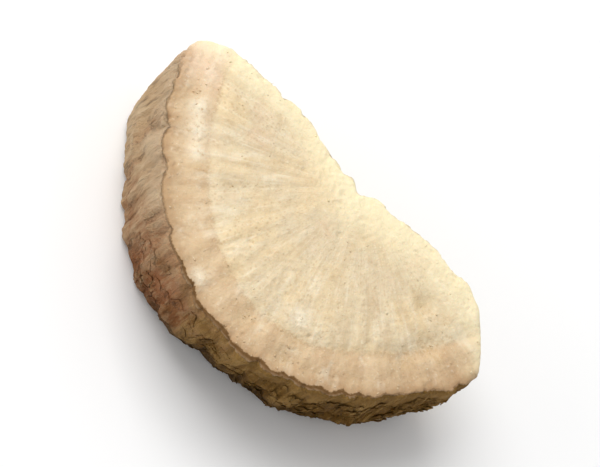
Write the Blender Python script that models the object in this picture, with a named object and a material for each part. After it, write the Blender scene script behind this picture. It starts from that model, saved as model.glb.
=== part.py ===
"""One half-round chip of dried white peony root, resting on its lower knife cut.

The root was cut across into slices, and this slice was split lengthwise through the middle.
The chip has five surfaces: the wrinkled bark, the lengthwise split, the two knife cuts and a
small chop that blunts one tip. Z runs along the root, X along the split, and the bark faces -Y.

Each surface is a formula that is negative inside the chip and zero on the surface. The chip is
what lies inside all five. The vertices of a finely divided slab are moved out along their own
lines until they meet it.
"""

import itertools
import math

import bmesh
import bpy
import numpy as np

MM = 0.001

# Overall size of the chip
LENGTH = 11.9 * MM
DEPTH = 6.7 * MM
THICKNESS = 3.8 * MM

# The root's cross-section at the upper cut: a circle about the leaning pith with lobes, each
# (number, height, turn in degrees), and how much thinner it is at the lower cut
ROOT_RADIUS = 5.98 * MM
ROOT_LOBES = ((2, 0.32 * MM, 85.6), (3, 0.41 * MM, 4.0))
PITH_X = 0.3 * MM
PITH_Y = -0.1 * MM
PITH_LEAN = 0.05
ROOT_TAPER = 0.026
# The broad hollow in the bark that deepens towards the lower cut, and its turn in degrees
HOLLOW_TURN = 11.0
HOLLOW_WIDTH = 2.6 * MM
HOLLOW_DEPTH = 0.85 * MM

# The lengthwise split: its place, and the low swells along it as (place, height, reach)
SPLIT_Y = -0.10 * MM
SPLIT_SWELLS = ((-2.2 * MM, 0.14 * MM, 0.9 * MM), (4.05 * MM, 0.50 * MM, 2.0 * MM))
SPLIT_SLANT = 0.09

# The chop across the right tip: the way that it faces, and its distance from the pith
CHOP_TURN = 50.0
CHOP_REACH = 3.10 * MM
CHOP_SLANT = 0.12

# The upper knife cut: its height, its rise to the right, and how far its middle stands proud
CUT_LEVEL = 3.58 * MM
CUT_RISE = 0.025
CUT_DOME = 0.16 * MM

# How softly the surfaces meet
LEFT_TIP_ROUND = 2.0 * MM
RIGHT_TIP_ROUND = 0.6 * MM
RIM_ROUND = 0.20 * MM

# Bark relief: the long wrinkles, and corky welts across the bark
BARK_BULGE = 0.16 * MM
WRINKLE_HEIGHT = 0.16 * MM
WRINKLE_WIDTH = 0.80 * MM
WRINKLE_LENGTH = 4.5 * MM
WELT_HEIGHT = 0.16 * MM
# Each welt as (turn in degrees, share of the thickness, half width, half height)
WELTS = (
    (-58.0, 0.40, 0.75 * MM, 0.20 * MM),
    (-29.0, 0.68, 0.60 * MM, 0.18 * MM),
    (-9.0, 0.34, 0.90 * MM, 0.22 * MM),
    (24.0, 0.62, 0.75 * MM, 0.20 * MM),
    (50.0, 0.38, 0.65 * MM, 0.19 * MM),
)

# Relief of the cut face: the cambium ring, the rays and the shrunken tissue under the bark
CAMBIUM_SHARE = 0.79
CAMBIUM_WIDTH = 0.040
CAMBIUM_DEPTH = 0.08 * MM
RIND_DROP = 0.12 * MM
RIND_SLOPE = 0.12
RAY_COUNT = 30
RAY_HEIGHT = 0.07 * MM
# Pits where the knife tore tissue out: (x, y, radius, depth)
PITS = (
    (3.78 * MM, -1.00 * MM, 0.34 * MM, 0.15 * MM),
    (4.57 * MM, -1.70 * MM, 0.40 * MM, 0.17 * MM),
    (4.50 * MM, -2.60 * MM, 0.30 * MM, 0.11 * MM),
    (2.25 * MM, -5.15 * MM, 0.34 * MM, 0.14 * MM),
    (0.75 * MM, -5.20 * MM, 0.34 * MM, 0.12 * MM),
    (-4.60 * MM, -1.75 * MM, 0.32 * MM, 0.11 * MM),
)

# Relief of the split: long fibres, the ledges between them, and the drying crack at the pith
FIBRE_HEIGHT = 0.15 * MM
FIBRE_WIDTH = 0.50 * MM
FIBRE_LENGTH = 6.0 * MM
# Each ledge as (x at mid-height, step inwards, half width of the step, lean)
LEDGES = (
    (-1.5 * MM, 0.14 * MM, 0.22 * MM, 0.20),
    (0.8 * MM, -0.16 * MM, 0.18 * MM, -0.12),
    (3.1 * MM, 0.08 * MM, 0.20 * MM, 0.10),
)
CRACK_X = 0.45 * MM
CRACK_DEPTH = 0.26 * MM
CRACK_HALF_WIDTH = 0.24 * MM

# How finely the chip is divided
FACE_CELLS = 44
SIDE_ROWS = 12
BASE_RINGS = (0.95, 0.84, 0.70, 0.56)
OUTLINE_RAYS = 1440
MIDDLE = np.array([0.3 * MM, -2.9 * MM, THICKNESS / 2])

# The lines run from an inner slab, this far inside the outer one, to beyond the outer one
SIDE_INSET = 0.55 * MM
FACE_INSET = 1.2 * MM
LINE_END = 2.2
HALVINGS = 34

TISSUE_COLOUR = (0.80, 0.66, 0.43, 1.0)
BARK_COLOUR = (0.42, 0.26, 0.15, 1.0)


def scattered(cell, seed):
    """A repeatable whole number for each lattice cell, mixed from its three indices."""
    mixed = cell[..., 0] * 73856093 ^ cell[..., 1] * 19349663 ^ cell[..., 2] * 83492791
    mixed = (mixed ^ (seed * 2654435761)) & 0xFFFFFFFF
    mixed = ((mixed ^ (mixed >> 13)) * 1274126177) & 0xFFFFFFFF
    return mixed ^ (mixed >> 16)


def gradient_noise(x, y, z, seed):
    """Smooth noise from about -1 to 1: each cell corner's slope, blended across the cell."""
    place = np.stack(np.broadcast_arrays(x, y, z), axis=-1).astype(float)
    cell = np.floor(place).astype(np.int64)
    inside = place - cell
    ease = inside**3 * (inside * (inside * 6 - 15) + 10)
    total = np.zeros(place.shape[:-1])
    for corner in itertools.product((0, 1), repeat=3):
        number = scattered(cell + np.array(corner), seed)
        slopes = [((number >> shift) & 255) / 127.5 - 1 for shift in (0, 8, 16)]
        rise = sum(slopes[i] * (inside[..., i] - corner[i]) for i in range(3))
        share = np.prod(np.where(corner, ease, 1 - ease), axis=-1)
        total += share * rise
    return total


def smooth_max(a, b, width):
    """The larger of two values, rounded off where they are within width of each other."""
    near = np.maximum(width - np.abs(a - b), 0)
    return np.maximum(a, b) + near**2 / (4 * width)


def bump(distance, reach):
    """1 at no distance, falling smoothly to nearly 0 past the reach."""
    return np.exp(-((distance / reach) ** 2))


def around_pith(x, y, z):
    """Distance from the pith's leaning axis, and the turn about it, 0 towards -Y."""
    dx = x - PITH_X - PITH_LEAN * (z - THICKNESS / 2)
    dy = y - PITH_Y
    return np.hypot(dx, dy), np.arctan2(dx, -dy)


def root_radius(turn):
    """The plain cross-section: the radius plus one cosine for each lobe."""
    lobes = [high * np.cos(n * (turn - math.radians(start))) for n, high, start in ROOT_LOBES]
    return ROOT_RADIUS + sum(lobes)


def wrinkles(turn, z):
    """Long rounded folds with sharp creases between: the size of noise stretched along Z."""
    along = ROOT_RADIUS * turn / WRINKLE_WIDTH
    sway = 0.5 * gradient_noise(along * 0.3, z / (1.3 * MM), 0.0, 3)
    fold = np.abs(gradient_noise(along + sway, z / WRINKLE_LENGTH, 0.5, 1))
    return WRINKLE_HEIGHT * (2.2 * fold**0.8 - 0.6)


def welts(turn, z):
    """Short raised bars across the bark, each a bump in turn and in height."""
    total = 0.0
    for degrees, share, half_width, half_height in WELTS:
        along = ROOT_RADIUS * (turn - math.radians(degrees))
        up = z - share * THICKNESS - 0.08 * along
        total = total + WELT_HEIGHT * bump(along, half_width) * bump(up, half_height)
    return total


def hollow(turn, z):
    """The broad hollow low in the bark: a bump in turn that fades out towards the upper cut."""
    along = ROOT_RADIUS * (turn - math.radians(HOLLOW_TURN))
    return HOLLOW_DEPTH * bump(along, HOLLOW_WIDTH) * (1 - z / THICKNESS)


def bark(x, y, z, relief=True):
    """Distance outside the bark."""
    radius, turn = around_pith(x, y, z)
    surface = root_radius(turn) * (1 - ROOT_TAPER * (1 - z / THICKNESS)) - hollow(turn, z)
    if relief:
        surface = surface + BARK_BULGE * (1 - (2 * z / THICKNESS - 1) ** 2)
        surface = surface + wrinkles(turn, z) + welts(turn, z)
    return radius - surface


def fibres(across, z):
    """Ridges that run along the root: noise that is narrow across it and long in Z."""
    sway = 0.6 * gradient_noise(across / (1.5 * MM), z / (2.0 * MM), 0.0, 12)
    return FIBRE_HEIGHT * gradient_noise(across / FIBRE_WIDTH + sway, z / FIBRE_LENGTH, 0.0, 11)


def ledges(x, z):
    """Steps along the split, each a smooth rise from one level to the next."""
    total = 0.0
    for place, step, half_width, lean in LEDGES:
        across = x - place - lean * (z - THICKNESS / 2)
        total = total + step * (0.5 + 0.5 * np.tanh(across / half_width))
    return total


def drying_crack(x, z):
    """A groove down the split, swaying a little, where the root shrank and opened."""
    sway = 0.10 * MM * np.sin(z / (0.9 * MM))
    return CRACK_DEPTH * bump(x - CRACK_X - sway, CRACK_HALF_WIDTH)


def split(x, y, z, relief=True):
    """Distance outside the lengthwise split."""
    level = SPLIT_Y + SPLIT_SLANT * (z - THICKNESS / 2)
    for place, height, reach in SPLIT_SWELLS:
        level = level + height * bump(x - place, reach)
    if relief:
        level = level + fibres(x, z) - ledges(x, z) - drying_crack(x, z)
    return y - level


def chop(x, y, z, relief=True):
    """Distance outside the chop across the right tip."""
    turn = math.radians(CHOP_TURN)
    along = (x - PITH_X) * math.cos(turn) + (y - PITH_Y) * math.sin(turn)
    surface = CHOP_REACH + CHOP_SLANT * (z - THICKNESS / 2)
    if relief:
        surface = surface + 0.7 * fibres(y, z)
    return along - surface


def side(x, y, z, relief=True):
    """Distance outside the upright surfaces, rounded where they meet."""
    barked = bark(x, y, z, relief)
    left_rounded = smooth_max(barked, split(x, y, z, relief), LEFT_TIP_ROUND)
    return smooth_max(left_rounded, chop(x, y, z, relief), RIGHT_TIP_ROUND)


def rays(turn, share):
    """Ridges that fan out from the pith, uneven in width, fading towards the middle."""
    uneven = gradient_noise(turn * RAY_COUNT / math.pi, share * 1.6, 2.0, 21)
    return RAY_HEIGHT * uneven * np.clip(share * 1.6 - 0.2, 0, 1)


def cut_relief(x, y):
    """Height of the upper cut above its plane: dome, sunken rind, cambium ring, rays and pits."""
    radius, turn = around_pith(x, y, CUT_LEVEL)
    share = radius / root_radius(turn)
    height = CUT_DOME * (1 - share**2) + rays(turn, share)
    height = height - RIND_DROP * np.clip((share - CAMBIUM_SHARE) / RIND_SLOPE, 0, 1)
    height = height - CAMBIUM_DEPTH * bump(share - CAMBIUM_SHARE, CAMBIUM_WIDTH)
    for place_x, place_y, reach, depth in PITS:
        height = height - depth * bump(np.hypot(x - place_x, y - place_y), reach)
    return height


def upper_cut(x, y, z):
    """Distance above the upper knife cut."""
    return z - CUT_LEVEL - CUT_RISE * x - cut_relief(x, y)


def outside(x, y, z):
    """Distance outside the whole chip: negative within it, zero on its surface."""
    return smooth_max(smooth_max(side(x, y, z), upper_cut(x, y, z), RIM_ROUND), -z, RIM_ROUND)


def meeting_place(start, end, value):
    """Where each line from start to end meets value = 0, by halving the stretch that holds it."""
    low = np.zeros(start.shape[:-1])
    high = np.full(start.shape[:-1], LINE_END)
    for _ in range(HALVINGS):
        middle = (low + high) / 2
        place = start + middle[..., None] * (end - start)
        within = value(place[..., 0], place[..., 1], place[..., 2]) < 0
        low = np.where(within, middle, low)
        high = np.where(within, high, middle)
    return start + high[..., None] * (end - start)


def plain_outline():
    """The outer and the inner slab's outlines, and the share of the way round at each point.

    The outer one is the chip at mid-height without relief, found along rays from its middle, and
    starts at the left tip. The inner one lies inside it by the inset, square to its edge.
    """
    turn = np.linspace(-math.pi, math.pi, OUTLINE_RAYS, endpoint=False)
    start = np.tile(MIDDLE, (OUTLINE_RAYS, 1))
    reach = LENGTH / 2 * np.stack([np.cos(turn), np.sin(turn), np.zeros_like(turn)], axis=-1)
    ring = meeting_place(start, start + reach, lambda x, y, z: side(x, y, z, relief=False))
    ring = np.roll(ring, -int(np.argmin(ring[:, 0])), axis=0)
    run = np.roll(ring, -1, axis=0) - np.roll(ring, 1, axis=0)
    outward = np.stack([run[:, 1], -run[:, 0], np.zeros(OUTLINE_RAYS)], axis=-1)
    outward /= np.linalg.norm(outward, axis=1)[:, None]
    rings = np.hstack([ring, ring - SIDE_INSET * outward])
    rings = np.vstack([rings, rings[:1]])
    way = np.linalg.norm(np.diff(rings[:, :3], axis=0), axis=1).cumsum()
    return rings, np.concatenate([[0], way / way[-1]])


def square_turn(a, b):
    """How far round the unit square each point's direction lies, 0 to 1 from corner (-1, 1)."""
    rim = np.maximum(np.abs(a), np.abs(b)) + 1e-12
    a, b = a / rim, b / rim
    left, low, right = a < -1 + 1e-6, b < -1 + 1e-6, a > 1 - 1e-6
    return np.where(left, 1 - b, np.where(low, 3 + a, np.where(right, 5 + b, 7 - a))) / 8 % 1.0


def crowded(level):
    """Moves evenly spaced levels towards the rim, where the spacing becomes closer."""
    return level * (1.25 - 0.25 * level**2)


def on_chip(a, b, level):
    """The chip's surface for slab coordinates: a and b across the face, level from -1 to 1 up."""
    rings, way = plain_outline()
    turn = square_turn(a, b)
    rim = np.stack([np.interp(turn, way, column) for column in rings.T], axis=-1)
    out = crowded(np.maximum(np.abs(a), np.abs(b)))[:, None]
    up = np.outer(crowded(level), (0, 0, 1))
    inner = MIDDLE + out * (rim[:, 3:] - MIDDLE) + up * (THICKNESS / 2 - FACE_INSET)
    outer = MIDDLE + out * (rim[:, :3] - MIDDLE) + up * THICKNESS / 2
    return meeting_place(inner, outer, outside)


def fitted(points):
    """The points scaled to the chip's stated size, centred in X and Y and standing on Z = 0."""
    low, high = points.min(axis=0), points.max(axis=0)
    size = np.array([LENGTH, DEPTH, THICKNESS])
    return (points - low) / (high - low) * size - size * np.array([0.5, 0.5, 0.0])


def slab(bm):
    """A divided square whose rim is extruded down the side and in under the base, then capped."""
    bmesh.ops.create_grid(bm, x_segments=FACE_CELLS, y_segments=FACE_CELLS, size=1.0)
    bmesh.ops.translate(bm, verts=bm.verts, vec=(0, 0, 1))
    side_rings = [(1.0, 1 - 2 * row / SIDE_ROWS) for row in range(1, SIDE_ROWS + 1)]
    for reach, level in side_rings + [(ring, -1.0) for ring in BASE_RINGS]:
        rim = [edge for edge in bm.edges if edge.is_boundary]
        made = bmesh.ops.extrude_edge_only(bm, edges=rim)["geom"]
        for vert in (item for item in made if isinstance(item, bmesh.types.BMVert)):
            size = max(abs(vert.co.x), abs(vert.co.y))
            vert.co = (vert.co.x / size * reach, vert.co.y / size * reach, level)
    bmesh.ops.edgeloop_fill(bm, edges=[edge for edge in bm.edges if edge.is_boundary])


def is_bark(points):
    """True where the bark is the nearest of the chip's surfaces."""
    x, y, z = points.T
    others = [split(x, y, z), chop(x, y, z), upper_cut(x, y, z), -z]
    return bark(x, y, z) > np.max(others, axis=0)


def chip_mesh():
    """The slab with its vertices moved onto the chip's surface, and its bark faces marked."""
    bm = bmesh.new()
    slab(bm)
    bmesh.ops.recalc_face_normals(bm, faces=bm.faces)
    coordinates = np.array([vert.co for vert in bm.verts])
    points = on_chip(*coordinates.T)
    for vert, place in zip(bm.verts, points):
        vert.co = place
    centres = np.array([face.calc_center_median() for face in bm.faces])
    for face, barked in zip(bm.faces, is_bark(centres)):
        face.material_index = int(barked)
    for vert, place in zip(bm.verts, fitted(points)):
        vert.co = place
    mesh = bpy.data.meshes.new("root_slice")
    bm.to_mesh(mesh)
    bm.free()
    mesh.shade_smooth()
    mesh.set_sharp_from_angle(angle=math.radians(40))
    return mesh


def plain_material(name, colour, roughness):
    """A matt finish in one colour."""
    material = bpy.data.materials.new(name)
    material.use_nodes = True
    shader = material.node_tree.nodes["Principled BSDF"]
    shader.inputs["Base Color"].default_value = colour
    shader.inputs["Roughness"].default_value = roughness
    shader.inputs["Metallic"].default_value = 0.0
    material.diffuse_color = colour
    return material


def main():
    """Empties the scene and adds the chip to it."""
    for obj in list(bpy.data.objects):
        bpy.data.objects.remove(obj, do_unlink=True)
    mesh = chip_mesh()
    mesh.materials.append(plain_material("root_tissue", TISSUE_COLOUR, 0.75))
    mesh.materials.append(plain_material("root_bark", BARK_COLOUR, 0.85))
    chip = bpy.data.objects.new("root_slice", mesh)
    bpy.context.scene.collection.objects.link(chip)


main()
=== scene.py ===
"""The looks of one dried half-round chip of white peony root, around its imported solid.

The chip is a slice of root between two knife cuts, split lengthwise. Its skin is one fine mesh
that follows the same formulas as the solid, with finer relief on top of them. Lengths are in
metres, with MM for the millimetres that this small thing is measured in.
"""

import itertools
import math
from typing import NamedTuple

import bmesh
import bpy
import numpy as np
from mathutils import Matrix, Vector


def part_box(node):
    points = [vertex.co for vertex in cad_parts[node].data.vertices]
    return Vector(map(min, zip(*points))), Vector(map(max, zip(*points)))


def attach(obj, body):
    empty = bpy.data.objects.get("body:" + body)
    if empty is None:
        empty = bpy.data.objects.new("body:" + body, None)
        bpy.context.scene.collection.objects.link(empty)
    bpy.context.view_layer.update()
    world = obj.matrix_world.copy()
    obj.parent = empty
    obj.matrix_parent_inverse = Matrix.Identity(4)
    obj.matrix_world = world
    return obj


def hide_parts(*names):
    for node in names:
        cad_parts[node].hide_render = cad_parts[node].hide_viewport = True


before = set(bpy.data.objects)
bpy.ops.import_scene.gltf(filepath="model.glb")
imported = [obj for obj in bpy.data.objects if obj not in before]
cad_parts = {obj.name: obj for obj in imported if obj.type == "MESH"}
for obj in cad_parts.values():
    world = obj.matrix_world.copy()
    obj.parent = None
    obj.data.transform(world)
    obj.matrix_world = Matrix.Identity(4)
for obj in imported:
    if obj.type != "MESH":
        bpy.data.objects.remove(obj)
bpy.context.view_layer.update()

MM = 0.001


class Grain(NamedTuple):
    """One layer of fine relief: how wide, long and high its grains are, and its own noise."""

    width: float
    length: float
    height: float
    seed: int
    layer: float = 0.0

    def noise(self, across, along):
        """The layer's noise, from about -1 to 1, at places across and along its grains."""
        return noise(across / self.width, along / self.length, self.layer, self.seed)

    def swells(self, across, along):
        """Rounded swells and dips: the height times the noise."""
        return self.height * self.noise(across, along)

    def crests(self, across, along):
        """Sharp crests where the noise is 0, lower by its distance from 0 elsewhere."""
        return self.height * (0.45 - 1.8 * np.abs(self.noise(across, along)))

    def plates(self, across, along, steepness):
        """Flat plates with steep edges: the height times the noise's hyperbolic tangent."""
        return self.height * np.tanh(steepness * self.noise(across, along))


NODE = "root_slice"
LOW, HIGH = (np.array(corner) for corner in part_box(NODE))
THICKNESS = HIGH[2] - LOW[2]
LENGTH = HIGH[0] - LOW[0]

# The root's cross-section at the upper cut: a circle about the leaning pith with lobes, each
# (number, height, turn in degrees), and how much thinner it is at the lower cut
ROOT_RADIUS = 5.98 * MM
ROOT_LOBES = ((2, 0.32 * MM, 85.6), (3, 0.41 * MM, 4.0))
PITH_X = 0.3 * MM
PITH_Y = -0.1 * MM
PITH_LEAN = 0.05
ROOT_TAPER = 0.026

# The broad hollow in the bark that deepens towards the lower cut, and its turn in degrees
HOLLOW_TURN = 11.0
HOLLOW_WIDTH = 2.6 * MM
HOLLOW_DEPTH = 0.85 * MM

# The lengthwise split and the swells along it, each (place, height, reach)
SPLIT_Y = -0.10 * MM
SPLIT_SWELLS = ((-2.2 * MM, 0.14 * MM, 0.9 * MM), (4.05 * MM, 0.50 * MM, 2.0 * MM))
SPLIT_SLANT = 0.09

# The chop across the right tip: the way that it faces, and its distance from the pith
CHOP_TURN = math.radians(50.0)
CHOP_REACH = 3.10 * MM
CHOP_SLANT = 0.12

# The upper knife cut: its height, its rise to the right, and how far its middle stands proud
CUT_LEVEL = 3.58 * MM
CUT_RISE = 0.025
CUT_DOME = 0.16 * MM

# How softly the surfaces meet
LEFT_TIP_ROUND = 2.0 * MM
RIGHT_TIP_ROUND = 0.6 * MM
RIM_ROUND = 0.20 * MM

# The solid's own relief of the bark, which finer relief is laid on: its bulge, long wrinkles
# and welts, each (turn in degrees, share of the thickness, half width, half height)
BARK_BULGE = 0.16 * MM
WRINKLE_HEIGHT = 0.16 * MM
WRINKLE_WIDTH = 0.80 * MM
WRINKLE_LENGTH = 4.5 * MM
WELT_HEIGHT = 0.16 * MM
WELTS = (
    (-58.0, 0.40, 0.75 * MM, 0.20 * MM),
    (-29.0, 0.68, 0.60 * MM, 0.18 * MM),
    (-9.0, 0.34, 0.90 * MM, 0.22 * MM),
    (24.0, 0.62, 0.75 * MM, 0.20 * MM),
    (50.0, 0.38, 0.65 * MM, 0.19 * MM),
)

# The solid's own relief of the cut face: the cambium ring at its share of the radius, with a
# starchy line outside it, the sunken rind, the rays, and pits, each (x, y, reach, depth)
CAMBIUM_SHARE = 0.79
CAMBIUM_WIDTH = 0.040
CAMBIUM_DEPTH = 0.08 * MM
STARCH_LINE_SHARE = 0.85
RIND_DROP = 0.12 * MM
RIND_SLOPE = 0.12
RAY_COUNT = 30
RAY_HEIGHT = 0.07 * MM
PITS = MM * np.array((
    (3.78, -1.00, 0.34, 0.15),
    (4.57, -1.70, 0.40, 0.17),
    (4.50, -2.60, 0.30, 0.11),
    (2.25, -5.15, 0.34, 0.14),
    (0.75, -5.20, 0.34, 0.12),
    (-4.60, -1.75, 0.32, 0.11),
))

# The solid's own relief of the split: long fibres, ledges, each (x at mid-height, step inwards,
# half width of the step, lean), and the drying crack
FIBRE_HEIGHT = 0.15 * MM
FIBRE_WIDTH = 0.50 * MM
FIBRE_LENGTH = 6.0 * MM
LEDGES = (
    (-1.5 * MM, 0.14 * MM, 0.22 * MM, 0.20),
    (0.8 * MM, -0.16 * MM, 0.18 * MM, -0.12),
    (3.1 * MM, 0.08 * MM, 0.20 * MM, 0.10),
)
CRACK_X = 0.45 * MM
CRACK_DEPTH = 0.26 * MM
CRACK_HALF_WIDTH = 0.24 * MM

# Fine relief of the bark: the sway of its crests, crests of two sizes, cracks across them,
# scales of cork, and roughness
BARK_SWAY = Grain(1.1 * MM, 0.9 * MM, 0.16 * MM, 31)
CREST = Grain(0.40 * MM, 2.6 * MM, 0.075 * MM, 32)
FINE_CREST = Grain(0.19 * MM, 1.3 * MM, 0.042 * MM, 33)
CROSS_CRACK = Grain(0.7 * MM, 0.17 * MM, 0.014 * MM, 34)
CORK_SCALE = Grain(0.45 * MM, 0.80 * MM, 0.020 * MM, 35, 3.0)
BARK_ROUGHNESS = Grain(0.11 * MM, 0.14 * MM, 0.020 * MM, 36, 1.0)

# Fine relief of the cuts: thin rays, the knife's chatter and its sway, starchy grain of two
# sizes, roughness where the tissue tore, and pores
THIN_RAY_COUNT = 88
THIN_RAY_HEIGHT = 0.018 * MM
CHATTER_WAY = (0.82, 0.57)
CHATTER_SPACING = 0.66 * MM
CHATTER_HEIGHT = 0.005 * MM
CHATTER_SWAY = Grain(1.6 * MM, 1.6 * MM, 0.231 * MM, 42)
STARCH_GRAIN = Grain(0.20 * MM, 0.20 * MM, 0.020 * MM, 43)
FINE_STARCH_GRAIN = Grain(0.11 * MM, 0.11 * MM, 0.012 * MM, 44)
TORN_PATCH = 1.5 * MM
TORN_ROUGHNESS = Grain(0.26 * MM, 0.26 * MM, 0.070 * MM, 46, 5.0)
PORE = Grain(0.24 * MM, 0.24 * MM, 0.045 * MM, 47, 6.0)

# Fine relief of the split: the sway of its fibres, fibres of two sizes, splinters and roughness
SPLIT_SWAY = Grain(0.9 * MM, 1.2 * MM, 0.10 * MM, 51)
WIDE_FIBRE = Grain(0.26 * MM, 3.0 * MM, 0.060 * MM, 52)
THIN_FIBRE = Grain(0.12 * MM, 1.6 * MM, 0.026 * MM, 53)
SPLINTER = Grain(0.34 * MM, 1.5 * MM, 0.024 * MM, 54, 2.0)
SPLIT_ROUGHNESS = Grain(0.13 * MM, 0.15 * MM, 0.014 * MM, 55, 1.0)

# Nicks where the upper rim crumbled, how far in from the rim they reach and the bark's paler band,
# which is partly rubbing and partly painted light on the lit upper bark, how wide one surface's
# finish turns into the next, and how far up from the base the fine relief fades in
NICK = Grain(0.34 * MM, 0.34 * MM, 0.11 * MM, 61)
NICK_REACH = 0.16 * MM
WEAR_AND_LIGHT_REACH = 0.8 * MM
ZONE_BLEND = 0.10 * MM
BASE_FADE = 0.25 * MM

# Painted shade at the foot of the bark by the hollow, darker towards the base where the bark meets
# what it lies on: its reach each way round, and the heights at which it starts and is full
FOOT_SHADE_REACH = 3.2 * MM
FOOT_SHADE_TOP = 2.1 * MM
FOOT_SHADE_FULL = 0.6 * MM

# How finely the skin is divided, and the lines that its points are found on: they run from an
# inner slab through an outer one, to so many times the way between
FACE_CELLS = 208
SIDE_ROWS = 46
BASE_REACH = 0.97
OUTLINE_RAYS = 1440
MIDDLE = np.array([0.3 * MM, -2.9 * MM, THICKNESS / 2])
SIDE_INSET = 0.55 * MM
FACE_INSET = 1.2 * MM
LINE_END = 2.2
HALVINGS = 22
SLOPE_STEP = 0.01 * MM

# Marks in the colour of the upper cut, each (x, y, reach): darker spots besides the pits, and
# places where white starch lies on it
STAINS = MM * np.array((
    (4.50, -0.83, 0.26),
    (5.11, -1.72, 0.24),
    (1.15, -0.97, 0.34),
    (1.84, -0.91, 0.26),
    (2.11, -4.49, 0.26),
    (-3.02, -3.30, 0.26),
))
POWDER = MM * np.array((
    (-4.23, -2.07, 0.30),
    (-3.75, -2.56, 0.32),
    (-3.34, -3.06, 0.26),
    (-0.85, -5.52, 0.28),
    (1.75, -4.12, 0.32),
))

# Loose bits, where a pair is the least and the most of a random measure. The surface under each
# is looked for from this far inside, and bits of tissue count as this deep under the bark
SEED = 20
LAID_FROM = 1.2 * MM
UPWARD = np.array((0.0, 0.0, 1.0))
BACKWARD = np.array((0.0, 1.0, 0.0))
TISSUE_DEPTH = 0.7 * MM

# Scales of cork, crowded towards a turn at the right and spread to the left of it, in radians
FLAKE_COUNT = 300
FLAKE_RIGHT = 1.30
FLAKE_SPREAD = 1.9
FLAKE_Z = (0.15 * MM, 3.15 * MM)
FLAKE_ROOM = (0.06 * MM, 3.18 * MM)
FLAKE_WIDTH = (0.06 * MM, 0.20 * MM)
FLAKE_LENGTH = (0.16 * MM, 0.55 * MM)
FLAKE_LEAN = (-0.5, 0.5)
FLAKE_LIFT = (0.015 * MM, 0.055 * MM)
FLAKE_CURL = 0.012 * MM
FLAKE_ABOVE = 0.012 * MM
FLAKE_BELOW = 0.010 * MM

# Crumbs of starch: places tried on the upper cut, how near its rim they crowd, the rest on the
# split, and their sizes
CUT_TRIES = 6000
CUT_X = (-5.8 * MM, 6.3 * MM)
CUT_Y = (-6.2 * MM, 0.6 * MM)
CRUMB_RIM = 0.45 * MM
CRUMB_INSET = 0.15 * MM
SPLIT_CRUMBS = 160
SPLIT_X = (-5.2 * MM, 5.0 * MM)
SPLIT_Z = (0.15 * MM, 3.3 * MM)
CRUMB_SIZE = (0.010 * MM, 0.034 * MM)
CRUMB_STRETCH = (0.5, 1.5)

# Loose fibres torn up from the split
LOOSE_COUNT = 150
LOOSE_RINGS = 10
LOOSE_SIDES = 5
LOOSE_LENGTH = (0.3 * MM, 1.5 * MM)
LOOSE_X = (-5.0 * MM, 5.2 * MM)
LOOSE_DRIFT = (-0.14 * MM, 0.14 * MM)
LOOSE_Z = (0.3 * MM, 3.1 * MM)
LOOSE_ROOM = (0.10 * MM, 3.36 * MM)
LOOSE_LIFT = (0.01 * MM, 0.16 * MM)
LOOSE_RADIUS = (0.010 * MM, 0.028 * MM)

# The camera: its bearing and height over the chip, the slope at which the chip's length lies in
# the picture, the lens, and the width that the frame spans at the chip
VIEW_TURN = math.radians(-4.0)
VIEW_HEIGHT = math.radians(60.0)
LENGTH_LIES = math.radians(-49.0)
LENS = 200.0
FRAME_WIDTH = 16.3 * MM

# Each light as (name, its shares of the picture's right, up and towards, distance, size, power),
# the sky's strength, and the table top
LIGHTS = (
    ("key", (0.10, 0.80, 0.70), 0.20, 0.15, 0.30),
    ("fill", (-0.9, 0.5, 0.7), 0.22, 0.16, 0.09),
)
SKY_STRENGTH = 0.54
TABLE_REACH = 0.6
TABLE_GAP = 0.01 * MM


def scattered(cell, seed):
    """A repeatable whole number for each lattice cell, mixed from its three indices."""
    mixed = cell[..., 0] * 73856093 ^ cell[..., 1] * 19349663 ^ cell[..., 2] * 83492791
    mixed = (mixed ^ (seed * 2654435761)) & 0xFFFFFFFF
    mixed = ((mixed ^ (mixed >> 13)) * 1274126177) & 0xFFFFFFFF
    return mixed ^ (mixed >> 16)


def joined(x, y, z):
    """Points from their coordinates, any of which may be one number for all of them."""
    return np.stack(np.broadcast_arrays(x, y, z), axis=-1).astype(float)


def unit(ways):
    """Directions with a length of 1."""
    return ways / np.linalg.norm(ways, axis=-1)[..., None]


def noise(x, y, z, seed):
    """Smooth noise from about -1 to 1: each cell corner's slope, blended across the cell."""
    place = joined(x, y, z)
    cell = np.floor(place).astype(np.int64)
    inside = place - cell
    ease = inside**3 * (inside * (inside * 6 - 15) + 10)
    total = np.zeros(place.shape[:-1])
    for corner in itertools.product((0, 1), repeat=3):
        number = scattered(cell + np.array(corner), seed)
        slopes = [((number >> shift) & 255) / 127.5 - 1 for shift in (0, 8, 16)]
        rise = sum(slopes[i] * (inside[..., i] - corner[i]) for i in range(3))
        share = np.prod(np.where(corner, ease, 1 - ease), axis=-1)
        total += share * rise
    return total


def smooth_max(a, b, width):
    """The larger of two values, rounded off where they are within width of each other."""
    near = np.maximum(width - np.abs(a - b), 0)
    return np.maximum(a, b) + near**2 / (4 * width)


def bump(distance, reach):
    """1 at no distance, falling smoothly: e to minus the square of distance over reach."""
    return np.exp(-((distance / reach) ** 2))


def patches(x, y, marks):
    """1 at the middle of any mark, falling to 0 outside all of them: the sum of their bumps."""
    total = sum(bump(np.hypot(x - mark[0], y - mark[1]), mark[2]) for mark in marks)
    return np.minimum(total, 1)


def step_up(value, start, end):
    """0 before start, 1 after end, and an even S-shaped rise between."""
    share = np.clip((value - start) / (end - start), 0, 1)
    return share * share * (3 - 2 * share)


def around_pith(x, y, z):
    """Distance from the pith's leaning axis, and the turn about it, 0 towards -Y."""
    dx = x - PITH_X - PITH_LEAN * (z - THICKNESS / 2)
    dy = y - PITH_Y
    return np.hypot(dx, dy), np.arctan2(dx, -dy)


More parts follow.
